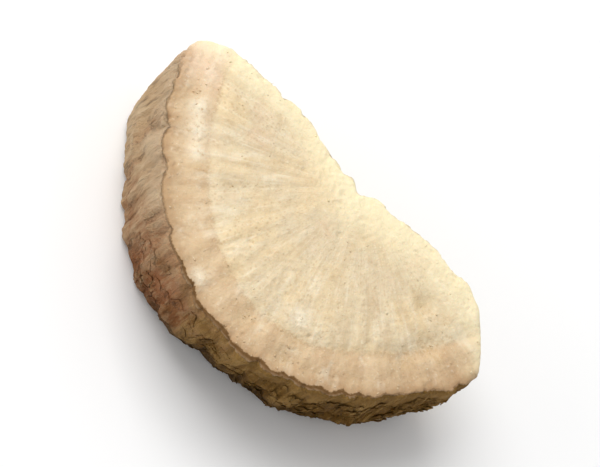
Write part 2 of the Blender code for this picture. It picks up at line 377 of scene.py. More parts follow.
def root_radius(turn):
    """The plain cross-section: the radius plus one cosine for each lobe."""
    lobes = [high * np.cos(n * (turn - math.radians(start))) for n, high, start in ROOT_LOBES]
    return ROOT_RADIUS + sum(lobes)


def wrinkles(turn, z):
    """Long rounded folds with sharp creases between: the size of noise stretched along Z."""
    along = ROOT_RADIUS * turn / WRINKLE_WIDTH
    sway = 0.5 * noise(along * 0.3, z / (1.3 * MM), 0.0, 3)
    fold = np.abs(noise(along + sway, z / WRINKLE_LENGTH, 0.5, 1))
    return WRINKLE_HEIGHT * (2.2 * fold**0.8 - 0.6)


def welts(turn, z):
    """Short raised bars across the bark, each a bump in turn and in height."""
    total = 0.0
    for degrees, share, half_width, half_height in WELTS:
        along = ROOT_RADIUS * (turn - math.radians(degrees))
        up = z - share * THICKNESS - 0.08 * along
        total = total + WELT_HEIGHT * bump(along, half_width) * bump(up, half_height)
    return total


def hollow(turn, z):
    """The broad hollow low in the bark: a bump in turn that fades out towards the upper cut."""
    along = ROOT_RADIUS * (turn - math.radians(HOLLOW_TURN))
    return HOLLOW_DEPTH * bump(along, HOLLOW_WIDTH) * (1 - z / THICKNESS)


def bark(x, y, z, relief=True):
    """Distance outside the bark."""
    radius, turn = around_pith(x, y, z)
    surface = root_radius(turn) * (1 - ROOT_TAPER * (1 - z / THICKNESS)) - hollow(turn, z)
    if relief:
        surface = surface + BARK_BULGE * (1 - (2 * z / THICKNESS - 1) ** 2)
        surface = surface + wrinkles(turn, z) + welts(turn, z)
    return radius - surface


def fibres(across, z):
    """Ridges that run along the root: noise that is narrow across it and long in Z."""
    sway = 0.6 * noise(across / (1.5 * MM), z / (2.0 * MM), 0.0, 12)
    return FIBRE_HEIGHT * noise(across / FIBRE_WIDTH + sway, z / FIBRE_LENGTH, 0.0, 11)


def ledges(x, z):
    """Steps along the split, each a smooth rise from one level to the next."""
    total = 0.0
    for place, step, half_width, lean in LEDGES:
        across = x - place - lean * (z - THICKNESS / 2)
        total = total + step * (0.5 + 0.5 * np.tanh(across / half_width))
    return total


def drying_crack(x, z):
    """A groove down the split, swaying a little, where the root shrank and opened."""
    sway = 0.10 * MM * np.sin(z / (0.9 * MM))
    return CRACK_DEPTH * bump(x - CRACK_X - sway, CRACK_HALF_WIDTH)


def split(x, y, z, relief=True):
    """Distance outside the lengthwise split."""
    level = SPLIT_Y + SPLIT_SLANT * (z - THICKNESS / 2)
    for place, height, reach in SPLIT_SWELLS:
        level = level + height * bump(x - place, reach)
    if relief:
        level = level + fibres(x, z) - ledges(x, z) - drying_crack(x, z)
    return y - level


def chop(x, y, z, relief=True):
    """Distance outside the chop across the right tip."""
    along = (x - PITH_X) * math.cos(CHOP_TURN) + (y - PITH_Y) * math.sin(CHOP_TURN)
    surface = CHOP_REACH + CHOP_SLANT * (z - THICKNESS / 2)
    if relief:
        surface = surface + 0.7 * fibres(y, z)
    return along - surface


def side(x, y, z, relief=True):
    """Distance outside the upright surfaces, rounded where they meet."""
    barked = bark(x, y, z, relief)
    left_rounded = smooth_max(barked, split(x, y, z, relief), LEFT_TIP_ROUND)
    return smooth_max(left_rounded, chop(x, y, z, relief), RIGHT_TIP_ROUND)


def rays(turn, share):
    """Ridges that fan out from the pith, uneven in width, fading towards the middle."""
    uneven = noise(turn * RAY_COUNT / math.pi, share * 1.6, 2.0, 21)
    return RAY_HEIGHT * uneven * np.clip(share * 1.6 - 0.2, 0, 1)


def cut_relief(x, y):
    """Height of the upper cut above its plane: dome, sunken rind, cambium ring, rays and pits."""
    radius, turn = around_pith(x, y, CUT_LEVEL)
    share = radius / root_radius(turn)
    height = CUT_DOME * (1 - share**2) + rays(turn, share)
    height = height - RIND_DROP * np.clip((share - CAMBIUM_SHARE) / RIND_SLOPE, 0, 1)
    height = height - CAMBIUM_DEPTH * bump(share - CAMBIUM_SHARE, CAMBIUM_WIDTH)
    for place_x, place_y, reach, depth in PITS:
        height = height - depth * bump(np.hypot(x - place_x, y - place_y), reach)
    return height


def upper_cut(x, y, z):
    """Distance above the upper knife cut."""
    return z - CUT_LEVEL - CUT_RISE * x - cut_relief(x, y)


def outside(x, y, z):
    """Distance outside the whole chip: negative within it, zero on its surface."""
    return smooth_max(smooth_max(side(x, y, z), upper_cut(x, y, z), RIM_ROUND), -z, RIM_ROUND)


def meeting_place(start, end, value):
    """Where each line from start to end meets value = 0, by halving the stretch that holds it."""
    low = np.zeros(start.shape[:-1])
    high = np.full(start.shape[:-1], LINE_END)
    for _ in range(HALVINGS):
        middle = (low + high) / 2
        place = start + middle[..., None] * (end - start)
        within = value(place[..., 0], place[..., 1], place[..., 2]) < 0
        low = np.where(within, middle, low)
        high = np.where(within, high, middle)
    return start + high[..., None] * (end - start)


def plain_outline():
    """The outer and the inner slab's outlines, and the share of the way round at each point."""
    turn = np.linspace(-math.pi, math.pi, OUTLINE_RAYS, endpoint=False)
    start = np.tile(MIDDLE, (OUTLINE_RAYS, 1))
    reach = LENGTH / 2 * joined(np.cos(turn), np.sin(turn), 0)
    ring = meeting_place(start, start + reach, lambda x, y, z: side(x, y, z, relief=False))
    ring = np.roll(ring, -int(np.argmin(ring[:, 0])), axis=0)
    run = np.roll(ring, -1, axis=0) - np.roll(ring, 1, axis=0)
    outward = unit(joined(run[:, 1], -run[:, 0], 0))
    rings = np.hstack([ring, ring - SIDE_INSET * outward])
    rings = np.vstack([rings, rings[:1]])
    way = np.linalg.norm(np.diff(rings[:, :3], axis=0), axis=1).cumsum()
    return rings, np.concatenate([[0], way / way[-1]])


def square_turn(a, b):
    """How far round the unit square each point's direction lies, 0 to 1 from corner (-1, 1)."""
    rim = np.maximum(np.abs(a), np.abs(b)) + 1e-12
    a, b = a / rim, b / rim
    left, low, right = a < -1 + 1e-6, b < -1 + 1e-6, a > 1 - 1e-6
    return np.where(left, 1 - b, np.where(low, 3 + a, np.where(right, 5 + b, 7 - a))) / 8 % 1.0


def crowded(level):
    """Moves evenly spaced levels towards the rim, where the spacing becomes closer."""
    return level * (1.25 - 0.25 * level**2)


def on_chip(a, b, level):
    """The chip's surface for slab coordinates: a and b across the face, level from -1 to 1 up."""
    rings, way = plain_outline()
    turn = square_turn(a, b)
    rim = np.stack([np.interp(turn, way, column) for column in rings.T], axis=-1)
    out = crowded(np.maximum(np.abs(a), np.abs(b)))[:, None]
    up = np.outer(crowded(level), (0, 0, 1))
    inner = MIDDLE + out * (rim[:, 3:] - MIDDLE) + up * (THICKNESS / 2 - FACE_INSET)
    outer = MIDDLE + out * (rim[:, :3] - MIDDLE) + up * THICKNESS / 2
    return meeting_place(inner, outer, outside)


def rim_of(index):
    """A square grid's outermost numbers, in order round it from its first corner."""
    return np.concatenate([index[0, :-1], index[:-1, -1], index[-1, :0:-1], index[:0:-1, 0]])


def faces_from(*corners):
    """Faces, each given by the numbers of its corner points, from an array for each corner."""
    return np.stack(corners, axis=-1).reshape(-1, len(corners))


def quads_of(index):
    """The four corners of each cell in a grid of point numbers, counterclockwise."""
    return faces_from(index[:-1, :-1], index[:-1, 1:], index[1:, 1:], index[1:, :-1])


def grid(cells, reach, level, first):
    """A square grid at one level: its coordinates, its quads and the numbers along its rim."""
    line = np.linspace(-reach, reach, cells + 1)
    b, a = np.meshgrid(line, line, indexing="ij")
    points = joined(a.ravel(), b.ravel(), level)
    index = first + np.arange(a.size).reshape(a.shape)
    return points, quads_of(index), rim_of(index)


def slab():
    """A divided slab's coordinates and faces.

    The upper face is a fine grid, the side has rows between the levels, and the lower face is a
    grid with half as many cells, joined to the lowest row by three triangles for every two cells.
    """
    top, top_quads, top_rim = grid(FACE_CELLS, 1.0, 1.0, 0)
    levels = np.linspace(1, -1, SIDE_ROWS + 1)[1:]
    rows = np.repeat(top[top_rim][None], SIDE_ROWS, axis=0)
    rows[..., 2] = levels[:, None]
    row_numbers = len(top) + np.arange(rows.shape[0] * rows.shape[1]).reshape(rows.shape[:2])
    wall = np.vstack([top_rim, row_numbers])
    around = np.roll(wall, -1, axis=1)
    wall_quads = faces_from(wall[:-1], wall[1:], around[1:], around[:-1])
    first_of_base = len(top) + rows[..., 0].size
    base, base_quads, base_rim = grid(FACE_CELLS // 2, BASE_REACH, -1.0, first_of_base)
    first, middle, last = wall[-1, ::2], wall[-1, 1::2], around[-1, 1::2]
    inner, inner_next = base_rim, np.roll(base_rim, -1)
    joins = [(first, inner, middle), (middle, inner, inner_next), (middle, inner_next, last)]
    triangles = np.concatenate([faces_from(*corners) for corners in joins])
    quads = np.vstack([top_quads, wall_quads, base_quads[:, ::-1]])
    return np.vstack([top, rows.reshape(-1, 3), base]), quads.tolist() + triangles.tolist()


def uphill(points):
    """The outward direction at each point: the slope of outside(), by small steps each way."""
    slope = np.empty_like(points)
    for axis in range(3):
        ahead, behind = points.copy(), points.copy()
        ahead[:, axis] += SLOPE_STEP
        behind[:, axis] -= SLOPE_STEP
        slope[:, axis] = outside(*ahead.T) - outside(*behind.T)
    return unit(slope)


def bark_grain(turn, z):
    """Fine relief of the bark: crests of two sizes, scales, cracks across them and roughness."""
    way = ROOT_RADIUS * turn
    swayed = way + BARK_SWAY.swells(way, z)
    height = CREST.crests(swayed, z) + FINE_CREST.crests(swayed, z)
    height = height + CORK_SCALE.plates(way, z, 9)
    return height + CROSS_CRACK.swells(way, z) + BARK_ROUGHNESS.swells(way, z)


def cut_grain(x, y, turn, share):
    """Fine relief of a cut: thin rays, knife chatter, starchy grain, torn patches and pores."""
    thin_rays = noise(turn * THIN_RAY_COUNT / math.pi, share * 3.0, 0.0, 41)
    height = THIN_RAY_HEIGHT * thin_rays * np.clip(share * 1.6 - 0.2, 0, 1)
    across = CHATTER_WAY[0] * x + CHATTER_WAY[1] * y + CHATTER_SWAY.swells(x, y)
    height = height + CHATTER_HEIGHT * np.sin(2 * math.pi * across / CHATTER_SPACING)
    height = height + STARCH_GRAIN.swells(x, y) + FINE_STARCH_GRAIN.swells(x, y)
    torn = step_up(noise(x / TORN_PATCH, y / TORN_PATCH, 4.0, 45), 0.12, 0.38)
    height = height - torn * np.abs(TORN_ROUGHNESS.swells(x, y))
    return height - PORE.height * step_up(PORE.noise(x, y), 0.34, 0.60)


def split_grain(across, z):
    """Fine relief of a surface torn along the root: fibres of two sizes, splinters, roughness."""
    swayed = across + SPLIT_SWAY.swells(across, z)
    height = WIDE_FIBRE.swells(swayed, z) + THIN_FIBRE.swells(swayed, z)
    return height + SPLINTER.plates(across, z, 6) + SPLIT_ROUGHNESS.swells(across, z)


def leading(value, others):
    """1 where value is the largest, 0 where another is, changing evenly across the blend."""
    return np.clip(0.5 + (value - np.max(others, axis=0)) / ZONE_BLEND, 0, 1)


class Zones:
    """Where points lie on the chip: round the pith, and on which of its surfaces."""

    def __init__(self, points):
        x, y, z = points.T
        self.x, self.y, self.z = x, y, z
        radius, self.turn = around_pith(x, y, z)
        self.share = radius / root_radius(self.turn)
        barked, parted, chopped = bark(x, y, z), split(x, y, z), chop(x, y, z)
        upper = upper_cut(x, y, z)
        cut = np.maximum(upper, -z)
        self.under_bark = -barked
        self.under_tear = -np.maximum(parted, 2 * chopped)
        self.on_bark = leading(barked, [parted, chopped, cut])
        self.on_split = leading(parted, [barked, chopped, cut])
        self.on_chop = leading(chopped, [barked, parted, cut])
        self.on_cut = leading(cut, [barked, parted, chopped])
        self.off_rim = np.max([barked, parted, chopped], axis=0) - upper

    def height(self):
        """The fine relief: each surface's own grain, and nicks where the upper rim crumbled."""
        height = self.on_bark * bark_grain(self.turn, self.z)
        height = height + self.on_cut * cut_grain(self.x, self.y, self.turn, self.share)
        height = height + self.on_split * split_grain(self.x + self.y, self.z)
        height = height + self.on_chop * split_grain(self.y, self.z)
        nick = step_up(NICK.noise(ROOT_RADIUS * self.turn, self.x), 0.20, 0.42)
        height = height - NICK.height * bump(self.off_rim, NICK_REACH) * nick
        return height * step_up(self.z, 0.0, BASE_FADE)

    def numbers(self):
        """What the finish reads at each point.

        These are depths in millimetres under the bark and the tears, the share of the radius,
        the direction from the pith in two parts, and how much of each kind of place it is.
        """
        crease = wrinkles(self.turn, self.z) / WRINKLE_HEIGHT
        crease = crease + self.on_bark * bark_grain(self.turn, self.z) / (0.1 * MM)
        above = self.z > THICKNESS / 2
        from_hollow = ROOT_RADIUS * (self.turn - math.radians(HOLLOW_TURN))
        return {
            "under_bark": self.under_bark / MM,
            "under_tear": self.under_tear / MM,
            "ring_share": self.share,
            "across": np.sin(self.turn),
            "towards_bark": np.cos(self.turn),
            "cut_face": self.on_cut,
            "crease": crease,
            # Paler band near the upper rim: partly rubbing, partly painted light on the lit upper
            # bark
            "rim": bump(self.off_rim, WEAR_AND_LIGHT_REACH),
            "stain": above * patches(self.x, self.y, [*PITS, *STAINS]),
            "powder": above * patches(self.x, self.y, POWDER),
            # Painted shade at the foot of the bark by the hollow, darker towards the base
            "foot_shade": bump(from_hollow, FOOT_SHADE_REACH) * step_up(self.z, FOOT_SHADE_TOP, FOOT_SHADE_FULL),
        }


def skin_shape():
    """The skin's points and faces, and the numbers at each point that the finish reads."""
    coordinates, faces = slab()
    points = on_chip(*coordinates.T)
    zones = Zones(points)
    return points + uphill(points) * zones.height()[:, None], faces, zones.numbers()


def laid_on(points, outward):
    """Points moved along their outward directions onto the chip, its fine relief included."""
    flat_points = points.reshape(-1, 3)
    flat_outward = np.broadcast_to(outward, points.shape).reshape(-1, 3)
    found = meeting_place(flat_points - LAID_FROM * flat_outward, flat_points, outside)
    return (found + flat_outward * Zones(found).height()[:, None]).reshape(points.shape)


def by_bark(turn, z):
    """Places close to the bark at the given turns and heights, and the ways straight out of it."""
    radius = root_radius(turn)
    x = PITH_X + PITH_LEAN * (z - THICKNESS / 2) + radius * np.sin(turn)
    y = PITH_Y - radius * np.cos(turn)
    return joined(x, y, z), joined(np.sin(turn), -np.cos(turn), 0)


def sheet_faces(rows, columns):
    """The faces of a closed sheet: an upper and a lower grid of points and the strip round them."""
    index = np.arange(rows * columns).reshape(rows, columns)
    quads, rim = quads_of(index), rim_of(index)
    next_rim = np.roll(rim, -1)
    lower = rows * columns
    strip = faces_from(rim + lower, next_rim + lower, next_rim, rim)
    return np.vstack([quads, quads[:, ::-1] + lower, strip]).tolist()


def cork_flakes(random):
    """Scales of cork that lift from the bark at one end, and the faces that each of them has.

    Each is a grid of points on the bark whose width narrows towards its free end. Its height over
    the bark is its lift times the square of the distance from the fixed end, plus a little curl
    at its sides, and a second grid a little lower closes it.
    """
    def between(least, most):
        return random.uniform(least, most, (FLAKE_COUNT, 1, 1))

    u, v = np.meshgrid(np.linspace(-1, 1, 7), np.linspace(0, 1, 6))
    turn, z = FLAKE_RIGHT - FLAKE_SPREAD * between(0, 1) ** 1.6, between(*FLAKE_Z)
    width, length = between(*FLAKE_WIDTH), between(*FLAKE_LENGTH)
    lean = between(*FLAKE_LEAN) + math.pi * (between(0, 1) < 0.5)
    lift = between(*FLAKE_LIFT) * (0.2 + 0.9 * step_up(turn, -0.2, 0.9))
    ragged = 1 + 0.30 * noise(u * 2.2, v * 1.5, between(0, 400), 71)
    across = width * u * (1 - 0.45 * v**2) * ragged
    along = length * v * ragged
    way = across * np.cos(lean) - along * np.sin(lean)
    up = z + across * np.sin(lean) + along * np.cos(lean)
    clear = (up.min(axis=(1, 2)) > FLAKE_ROOM[0]) & (up.max(axis=(1, 2)) < FLAKE_ROOM[1])
    places, outward = by_bark((turn + way / ROOT_RADIUS)[clear], up[clear])
    places = laid_on(places, outward)
    height = lift[clear] * v**2 + FLAKE_CURL * u**2
    upper = places + outward * (height + FLAKE_ABOVE)[..., None]
    lower = places + outward * (height - FLAKE_BELOW)[..., None]
    barked = Zones(places.reshape(-1, 3)).on_bark.reshape(len(places), -1).min(axis=1) > 0.9
    points = np.stack([upper, lower], axis=1)[barked]
    return points.reshape(len(points), -1, 3), sheet_faces(*u.shape)


def ball():
    """The points of a small round crumb before it is made uneven, and its faces."""
    bm = bmesh.new()
    bmesh.ops.create_icosphere(bm, subdivisions=2, radius=1.0)
    points = np.array([vert.co for vert in bm.verts])
    faces = [[vert.index for vert in face.verts] for face in bm.faces]
    bm.free()
    return points, faces


def crumb_places(random):
    """Where crumbs lie: on the upper cut, mostly near its rim and in its pits, and on the split."""
    x = random.uniform(*CUT_X, CUT_TRIES)
    y = random.uniform(*CUT_Y, CUT_TRIES)
    inside = -side(x, y, np.full_like(x, CUT_LEVEL))
    likely = 0.02 + 0.08 * bump(inside, CRUMB_RIM)
    for place_x, place_y, reach, _ in PITS:
        likely = likely + 0.4 * bump(np.hypot(x - place_x, y - place_y), reach)
    keep = (inside > CRUMB_INSET) & (random.uniform(0, 1, x.size) < likely)
    upper = joined(x[keep], y[keep], CUT_LEVEL)
    x = random.uniform(*SPLIT_X, SPLIT_CRUMBS)
    z = random.uniform(*SPLIT_Z, SPLIT_CRUMBS)
    parted = joined(x, SPLIT_Y, z)
    return np.vstack([laid_on(upper, UPWARD), laid_on(parted, BACKWARD)])


def starch_crumbs(random):
    """Crumbs of tissue pressed half into the surface, and the faces of each.

    Each is a ball whose radius is made uneven by noise, stretched unequally along X, Y and Z.
    """
    shape, faces = ball()
    places = crumb_places(random)
    grown = shape[None] * 1.1 + np.arange(len(places))[:, None, None] * 3.7
    uneven = 1 + 0.9 * noise(*np.moveaxis(grown, -1, 0), 72)
    stretch = random.uniform(*CRUMB_STRETCH, (len(places), 1, 3))
    size = stretch * random.uniform(*CRUMB_SIZE, (len(places), 1, 1))
    return places[:, None] + shape * uneven[..., None] * size, faces


def torn_fibres(random):
    """Thin fibres torn up along the split, each fixed at one end, and the faces of each.

    Each is a round profile carried along a line over the split. The line drifts aside and rises
    with the square of the distance from the fixed end, and the profile shrinks towards the tip.
    """
    def between(least, most):
        return random.uniform(least, most, (LOOSE_COUNT, 1))

    share = np.linspace(0, 1, LOOSE_RINGS)
    length = between(*LOOSE_LENGTH) * np.where(between(0, 1) < 0.5, 1, -1)
    x = between(*LOOSE_X) + between(*LOOSE_DRIFT) * share**2
    z = np.clip(between(*LOOSE_Z) + length * share, *LOOSE_ROOM)
    places = laid_on(joined(x, SPLIT_Y, z), BACKWARD)
    places[..., 1] += between(*LOOSE_LIFT) * share**2
    along = np.gradient(places, axis=1)
    beside = np.cross(along, BACKWARD)
    over = unit(np.cross(beside, along))
    spin = np.linspace(0, 2 * math.pi, LOOSE_SIDES, endpoint=False)[:, None]
    ring = over[:, :, None] * np.cos(spin) + unit(beside)[:, :, None] * np.sin(spin)
    radius = between(*LOOSE_RADIUS) * (1 - 0.8 * share)
    points = places[:, :, None] + radius[:, :, None, None] * ring
    index = np.arange(LOOSE_RINGS * LOOSE_SIDES).reshape(LOOSE_RINGS, LOOSE_SIDES)
    next_to = np.roll(index, -1, axis=1)
    walls = faces_from(index[:-1], next_to[:-1], next_to[1:], index[1:])
    ends = [index[0, ::-1].tolist(), index[-1].tolist()]
    return points.reshape(LOOSE_COUNT, -1, 3), walls.tolist() + ends


def fit_to_box(skin):
    """The scaling that brings the skin's points to the solid's own box, for every piece alike."""
    low, high = skin.min(axis=0), skin.max(axis=0)
    return lambda points: (points - low) / (high - low) * (HIGH - LOW) + LOW


def placed(name, data):
    """A new object with this data, in the scene."""
    made = bpy.data.objects.new(name, data)
    bpy.context.scene.collection.objects.link(made)
    return made


def mesh_object(name, points, faces, numbers=()):
    """A smooth mesh object from points and faces, with a number per point for each name."""
    mesh = bpy.data.meshes.new(name)
    mesh.from_pydata(points.tolist(), [], faces)
    mesh.shade_smooth()
    for label, values in dict(numbers).items():
        layer = mesh.attributes.new(label, "FLOAT", "POINT")
        layer.data.foreach_set("value", np.asarray(values, dtype=np.float32))
    return placed(name, mesh)


def linear(red, green, blue):
    """A linear colour with alpha from display values of 0 to 255."""
    shares = [channel / 255 for channel in (red, green, blue)]
    return (*(s / 12.92 if s <= 0.04045 else ((s + 0.055) / 1.055) ** 2.4 for s in shares), 1.0)


class Wire:
    """A socket whose arithmetic adds Math nodes to the finish that it belongs to."""

    def __init__(self, finish, socket):
        self.finish = finish
        self.socket = socket

    def __add__(self, other):
        return self.finish.maths("ADD", self, other)

    def __sub__(self, other):
        return self.finish.maths("SUBTRACT", self, other)

    def __rsub__(self, other):
        return self.finish.maths("SUBTRACT", other, self)

    def __mul__(self, other):
        return self.finish.maths("MULTIPLY", self, other)

    __radd__ = __add__
    __rmul__ = __mul__

    def rise(self, start, end):
        """0 before start, 1 after end, and a smooth rise between."""
        inputs = {"Value": self, "From Min": start, "From Max": end}
        return self.finish.node("MapRange", inputs, interpolation_type="SMOOTHSTEP")

    def line(self, place, sharpness):
        """1 at the place: e to minus the sharpness times the square of the distance from it."""
        away = self - place
        return self.finish.maths("EXPONENT", away * away * -sharpness)


class Finish:
    """A material being built: its nodes, and one method that adds any kind of them."""

    def __init__(self, name):
        self.material = bpy.data.materials.new(name)
        self.material.use_nodes = True
        self.tree = self.material.node_tree
        self.tree.nodes.clear()

    def node(self, kind, inputs=(), output=0, **settings):
        """Adds a node: its settings first, then the value or link of each input."""
        made = self.tree.nodes.new("ShaderNode" + kind)
        for name, value in settings.items():
            setattr(made, name, value)
        for name, value in dict(inputs).items():
            socket = made.inputs[name]
            if isinstance(value, Wire):
                self.tree.links.new(value.socket, socket)
            else:
                socket.default_value = value
        return Wire(self, made.outputs[output]) if made.outputs else None

    def maths(self, operation, *values):
        """A Math node on numbers or wires."""
        return self.node("Math", dict(enumerate(values)), operation=operation)

    def mix(self, share, first, second):
        """The first colour turning into the second as share goes from 0 to 1."""
        inputs = {0: share, 6: first, 7: second}
        return self.node("Mix", inputs, output=2, data_type="RGBA", clamp_factor=True)

    def coated(self, colour, coats):
        """The colour with each coat mixed over it in turn, a coat being its share and colour."""
        for share, coat in coats:
            colour = self.mix(share, colour, coat)
        return colour

    def squeezed(self, place, up):
        """The place with its height multiplied, which draws patterns out along the root."""
        return self.node("VectorMath", {0: place, 1: (1.0, 1.0, up)}, operation="MULTIPLY")

    def noise(self, place, scale, detail=2.0, roughness=0.5):
        """Noise from 0 to 1 at a place in millimetres, scale being how many grains to each."""
        inputs = {"Vector": place, "Scale": scale, "Detail": detail, "Roughness": roughness}
        return self.node("TexNoise", inputs)

    def cells(self, place, scale, feature):
        """Distance in a pattern of irregular cells: to their middles, F1, or to their edges."""
        return self.node("TexVoronoi", {"Vector": place, "Scale": scale}, feature=feature)

    def number(self, name):
        """The number stored at each point of the mesh under this name."""
        return self.node("Attribute", output=2, attribute_name=name)

    def place(self):
        """The place on the chip in millimetres."""
        inputs = {0: self.node("TexCoord", output=3), "Scale": 1 / MM}
        return self.node("VectorMath", inputs, operation="SCALE")

    def close(self, inputs):
        """Ends the material in a Principled shader with these inputs."""
        shader = self.node("BsdfPrincipled", inputs)
        self.node("OutputMaterial", {"Surface": shader})
        return self.material


WOOD = linear(223, 205, 172)
WOOD_WARM = linear(229, 207, 168)
WOOD_PINK = linear(224, 199, 166)
WOOD_TAN = linear(192, 164, 124)
INNER_BARK = linear(219, 193, 157)
INNER_BARK_TAN = linear(196, 164, 128)
RING_TAN = linear(180, 146, 108)
STARCH = linear(246, 236, 212)
CREAM = linear(253, 240, 200)
TIP_HIGHLIGHT_PINK = linear(242, 214, 186)
STAIN_TAN = linear(186, 152, 100)
RIND = linear(172, 136, 98)
CORK_SECTION = linear(110, 80, 46)
CORK_PALE = linear(214, 189, 154)
CORK_TAN = linear(196, 164, 126)
CORK_WORN_LIT = linear(206, 178, 146)
CORK_RUST = linear(156, 101, 63)
CORK_OLIVE = linear(106, 73, 20)
CORK_OLIVE_PALE = linear(174, 136, 78)
CORK_DARK = linear(52, 32, 9)
TABLE_WHITE = (0.93, 0.93, 0.93, 1.0)
SKY_WHITE = (1.0, 1.0, 1.0, 1.0)


class RootFinish(Finish):
    """The finish of the chip and its loose bits: pale tissue under a thin bark.

    It reads the numbers that are stored at each point, and a few noises that its colours share.
    """

    def __init__(self):
        super().__init__("dried_root")
        self.spot = self.place()
        self.across = self.number("across")
        self.towards_bark = self.number("towards_bark")
        self.share = self.number("ring_share")
        self.cut_face = self.number("cut_face")
        self.grain = self.noise(self.spot, 9.0, 3.0, 0.6)
        self.fine = self.noise(self.spot, 24.0, 2.0, 0.6)
        self.broad = self.noise(self.spot, 0.55, 3.0, 0.6)
        self.mottle = self.noise(self.spot, 2.4, 4.0, 0.6)
        ragged = self.noise(self.squeezed(self.spot, 0.4), 2.2, 4.0, 0.7)
        uneven = (self.grain - 0.5) * 0.07 + (self.fine - 0.5) * 0.05
        self.depth = self.number("under_bark") * (1.9 - ragged * 1.8) + uneven
        self.wobble = self.share + (self.broad - 0.5) * 0.05 + (self.mottle - 0.5) * 0.02
        self.thread = self.noise(self.squeezed(self.spot, 0.07), 16.0, 3.0, 0.7)

    def fan(self, around, outwards):
        """A place in a pattern that fans out from the pith, with so many grains each way."""
        inputs = {0: self.across * around, 1: self.towards_bark * around, 2: self.share * outwards}
        return self.node("CombineXYZ", inputs)

    def bent(self):
        """The place moved along each axis by noise, unevenly, by about half a millimetre."""
        push = {"Vector": self.spot, "Scale": 3.0, "Detail": 3.0}
        push = self.node("TexNoise", push, output=1)
        inputs = {0: push, 1: (0.9, 0.9, 0.9), 2: self.spot}
        return self.node("VectorMath", inputs, operation="MULTIPLY_ADD")

    def wood(self):
        """Cream wood, warmer or pinker in places, with faint rays and vessels on the cuts."""
        ray = self.noise(self.fan(12.0, 1.6), 1.0, 3.0, 0.6)
        thin_ray = self.noise(self.fan(40.0, 5.0), 1.0, 2.0)
        vessel = self.cells(self.fan(34.0, 46.0), 1.0, "F1").rise(0.42, 0.16)
        fanned = self.share.rise(0.06, 0.40) * self.cut_face
        return self.coated(WOOD, (
            (self.broad.rise(0.42, 0.62), WOOD_WARM),
            (self.broad.rise(0.46, 0.30) * 0.8, WOOD_PINK),
            (self.mottle.rise(0.50, 0.74) * 0.35, WOOD_TAN),
            (ray.rise(0.46, 0.70) * fanned * 0.26, WOOD_TAN),
            (thin_ray.rise(0.52, 0.76) * fanned * 0.30, STARCH),
            (vessel * fanned * ray.rise(0.60, 0.40) * 0.42, WOOD_TAN),
        ))

    def inner_bark(self):
        """Inner bark in pale and tan flames, a painted highlight of pale pink at the left tip, with
        a broken starchy line.
        """
        flame = self.noise(self.fan(17.0, 4.0), 1.0, 3.0, 0.65)
        at_left = self.across.rise(-0.72, -0.86)
        broken = at_left * self.grain.rise(0.30, 0.60) * 0.22 + self.mottle.rise(0.56, 0.70) * 0.25
        return self.coated(INNER_BARK, (
            (flame.rise(0.40, 0.66) * 0.60, INNER_BARK_TAN),
            # Painted highlight: the very left tip is made paler and pinker
            (self.across.rise(-0.93, -0.99) * 0.75, TIP_HIGHLIGHT_PINK),
            (self.mottle.rise(0.42, 0.64) * 0.35, INNER_BARK),
            (self.wobble.line(STARCH_LINE_SHARE, 2600.0) * broken, STARCH),
        ))

    def flecks(self):
        """Coats of tan and starchy flecks that fan out over the cuts."""
        fleck = self.noise(self.fan(11.0, 6.0), 1.0, 3.0, 0.6)
        fanned = self.share.rise(0.10, 0.55) * self.cut_face
        return (
            (fleck.rise(0.50, 0.66) * fanned * 0.24, WOOD_TAN),
            (fleck.rise(0.47, 0.32) * fanned * 0.30, STARCH),
        )

    def threads(self):
        """Coats of tan and pale threads along the root, where it isn't cut but torn."""
        torn = 1 - self.cut_face
        strand = self.noise(self.squeezed(self.spot, 0.10), 6.0, 3.0, 0.6)
        return (
            (strand.rise(0.46, 0.72) * torn * 0.45, WOOD_TAN),
            (self.thread.rise(0.52, 0.72) * torn * 0.45, WOOD_TAN),
            (self.thread.rise(0.44, 0.26) * torn * 0.50, STARCH),
        )

    def tissue(self):
        """Wood and inner bark, with the ring between them, and the coats over both.

        Tan lies under the bark, cream by the pith and by the tears, where it is partly paler tissue
        and partly a painted highlight on the lit edge, and the bark's brown section round the cuts,
        thinner at the front and the tips.
        """
        in_wood = self.wobble.rise(CAMBIUM_SHARE + 0.02, CAMBIUM_SHARE - 0.02)
        ring = self.wobble.line(CAMBIUM_SHARE, 5200.0) * self.grain.rise(0.35, 0.62)
        stained = self.depth.rise(1.10, 0.10) * (self.across.rise(-0.35, 0.35) * 0.16 + 0.22)
        near_tear = self.number("under_tear") * (1 - self.across.rise(-0.5, 0.5) * 0.34)
        at_tips = self.across.rise(-0.30, -0.65) * 0.7 + self.across.rise(0.65, 0.90) * 0.5
        front = (self.towards_bark * 0.98 + self.across * 0.21).rise(0.80, 0.93)
        edge = (self.depth * (1 - front * 0.45)).rise(0.105, 0.075) * (1 - at_tips)
        return self.coated(self.mix(in_wood, self.inner_bark(), self.wood()), (
            (ring * 0.45, RING_TAN),
            (stained * self.cut_face, RIND),
            *self.flecks(),
            *self.threads(),
            (self.number("stain") * self.grain.rise(0.34, 0.60) * 0.34, STAIN_TAN),
            (self.number("powder") * self.grain.rise(0.22, 0.50) * 0.65, STARCH),
            (self.grain.rise(0.58, 0.78) * 0.40, STARCH),
            (self.grain.rise(0.44, 0.26) * 0.30, WOOD_TAN),
            # Cream by the tears: partly paler tissue, partly a painted highlight where the split
            # and chop edges catch the light
            (near_tear.rise(1.15, 0.0) * (self.cut_face * 0.50 + 0.24), CREAM),
            (self.share.rise(0.34, 0.06) * self.cut_face * 0.30, CREAM),
            (self.depth.rise(0.45, 0.08) * 0.60, RIND),
            (edge * self.cut_face, CORK_SECTION),
        ))

